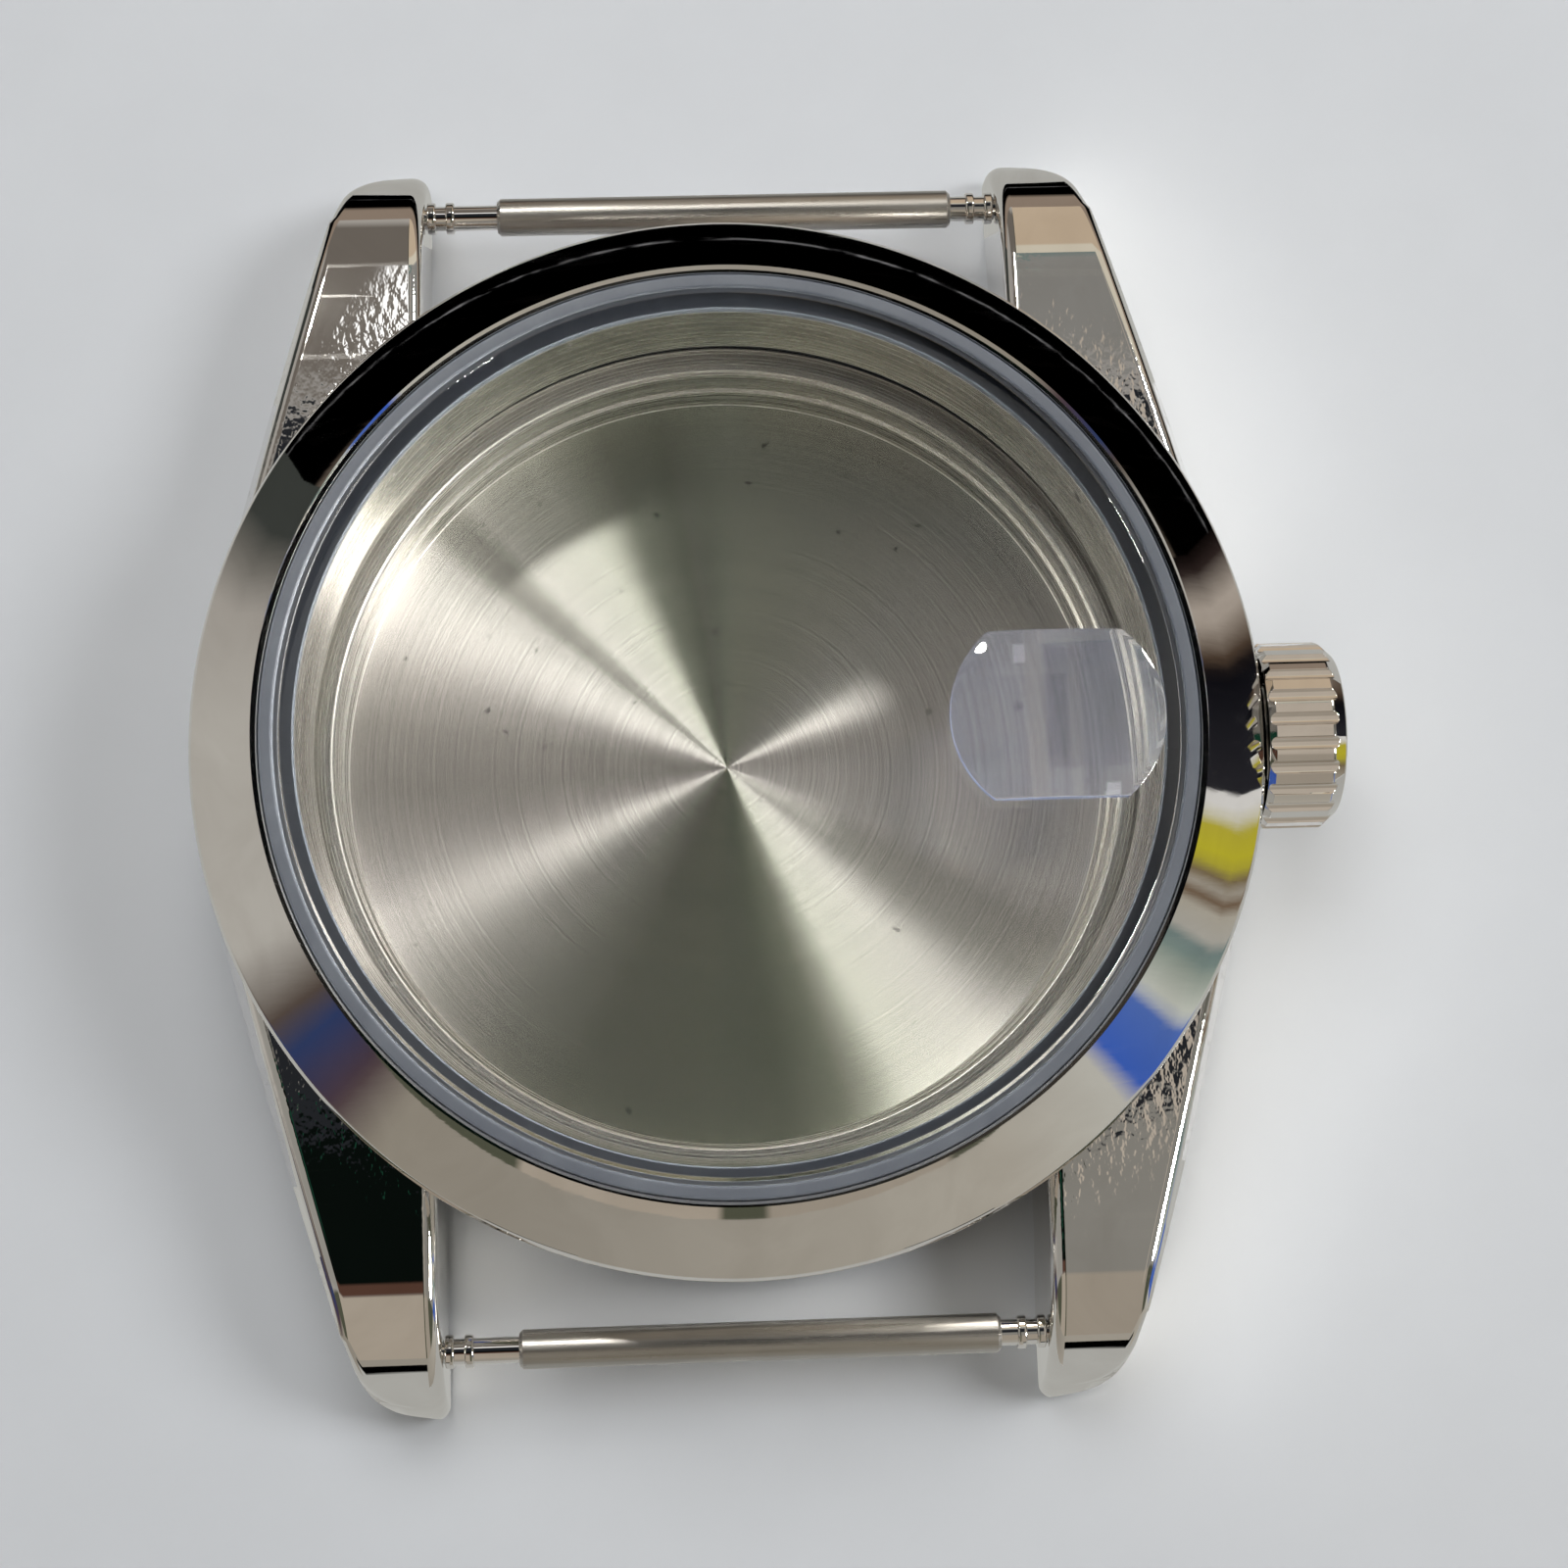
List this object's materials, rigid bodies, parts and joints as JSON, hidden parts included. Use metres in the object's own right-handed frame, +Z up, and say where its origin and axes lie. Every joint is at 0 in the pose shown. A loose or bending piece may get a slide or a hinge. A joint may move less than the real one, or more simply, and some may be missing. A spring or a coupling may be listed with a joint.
{
  "type": "empty watch case",
  "caption": "Round empty watch case with screwed back, fluted crown, flat crystal with a small magnifier, and sprung strap bars between the lugs.",
  "frame": {"origin": "middle of the back's flat lower face, on the axis of the case", "axes": "+X towards the crown at three o'clock, +Y towards twelve o'clock, +Z up out of the crystal"},
  "size_m": [0.0385, 0.0438, 0.0106],
  "materials": {
    "polished_steel": "mirror-polished stainless steel",
    "turned_steel": "lathe-turned stainless steel",
    "satin_steel": "satin, slightly dark",
    "spring_steel": "bright wire",
    "crystal_gasket": "slate-blue, matt",
    "black_seal": "matt black",
    "sapphire": "clear, polished"
  },
  "bodies": {
    "case": {"case_middle": "polished_steel", "bezel": "polished_steel", "crystal_gasket": "crystal_gasket", "crystal": "sapphire", "date_magnifier": "sapphire", "crown_tube": "turned_steel"},
    "back_seal": {"case_back_gasket": "black_seal"},
    "back": {"case_back": "turned_steel"},
    "crown_stem": {"crown_post": "turned_steel"},
    "crown_core": {"crown_retainer": "turned_steel", "crown_spring": "spring_steel"},
    "crown": {"crown_cap": "polished_steel", "crown_washer": "black_seal"},
    "upper_bar": {"upper_bar_tube": "satin_steel", "upper_bar_spring": "spring_steel"},
    "upper_left_pin": {"upper_bar_left_pin": "turned_steel"},
    "upper_right_pin": {"upper_bar_right_pin": "turned_steel"},
    "lower_bar": {"lower_bar_tube": "satin_steel", "lower_bar_spring": "spring_steel"},
    "lower_left_pin": {"lower_bar_left_pin": "turned_steel"},
    "lower_right_pin": {"lower_bar_right_pin": "turned_steel"}
  },
  "joints": [
    {"name": "back_travel", "type": "slide", "parent": "case", "child": "back_seal", "axis": [0, 0, -1], "range_m": [0, 0.0035]},
    {"name": "back_turn", "type": "hinge", "parent": "back_seal", "child": "back", "pos_m": [0, 0, 0], "axis": [0, 0, -1], "range_deg": [0, 2520]},
    {"name": "crown_pull", "type": "slide", "parent": "case", "child": "crown_stem", "axis": [1, 0, 0], "range_m": [0, 0.0012]},
    {"name": "crown_travel", "type": "slide", "parent": "crown_stem", "child": "crown_core", "axis": [1, 0, 0], "range_m": [0, 0.00105]},
    {"name": "crown_turn", "type": "hinge", "parent": "crown_core", "child": "crown", "pos_m": [0.0185, 0, 0.00505], "axis": [1, 0, 0], "range_deg": [0, 1080]},
    {"name": "upper_bar_turn", "type": "hinge", "parent": "case", "child": "upper_bar", "pos_m": [0, 0.0196, 0.0033], "axis": [1, 0, 0], "continuous": true},
    {"name": "upper_left_pin_press", "type": "slide", "parent": "upper_bar", "child": "upper_left_pin", "axis": [1, 0, 0], "range_m": [0, 0.0014], "stiffness_N_per_m": 300, "springref_m": -0.002, "deforming": ["upper_bar_spring"]},
    {"name": "upper_right_pin_press", "type": "slide", "parent": "upper_bar", "child": "upper_right_pin", "axis": [-1, 0, 0], "range_m": [0, 0.00045], "stiffness_N_per_m": 300, "springref_m": -0.002, "deforming": ["upper_bar_spring"]},
    {"name": "lower_bar_turn", "type": "hinge", "parent": "case", "child": "lower_bar", "pos_m": [0, -0.0196, 0.0033], "axis": [1, 0, 0], "continuous": true},
    {"name": "lower_left_pin_press", "type": "slide", "parent": "lower_bar", "child": "lower_left_pin", "axis": [1, 0, 0], "range_m": [0, 0.0014], "stiffness_N_per_m": 300, "springref_m": -0.002, "deforming": ["lower_bar_spring"]},
    {"name": "lower_right_pin_press", "type": "slide", "parent": "lower_bar", "child": "lower_right_pin", "axis": [-1, 0, 0], "range_m": [0, 0.00045], "stiffness_N_per_m": 300, "springref_m": -0.002, "deforming": ["lower_bar_spring"]}
  ],
  "couplings": [
    {"joint": "back_travel", "follows": "back_turn", "m_per_rad": 0.000079577},
    {"joint": "crown_turn", "follows": "crown_travel", "rad_per_m": 17952}
  ]
}
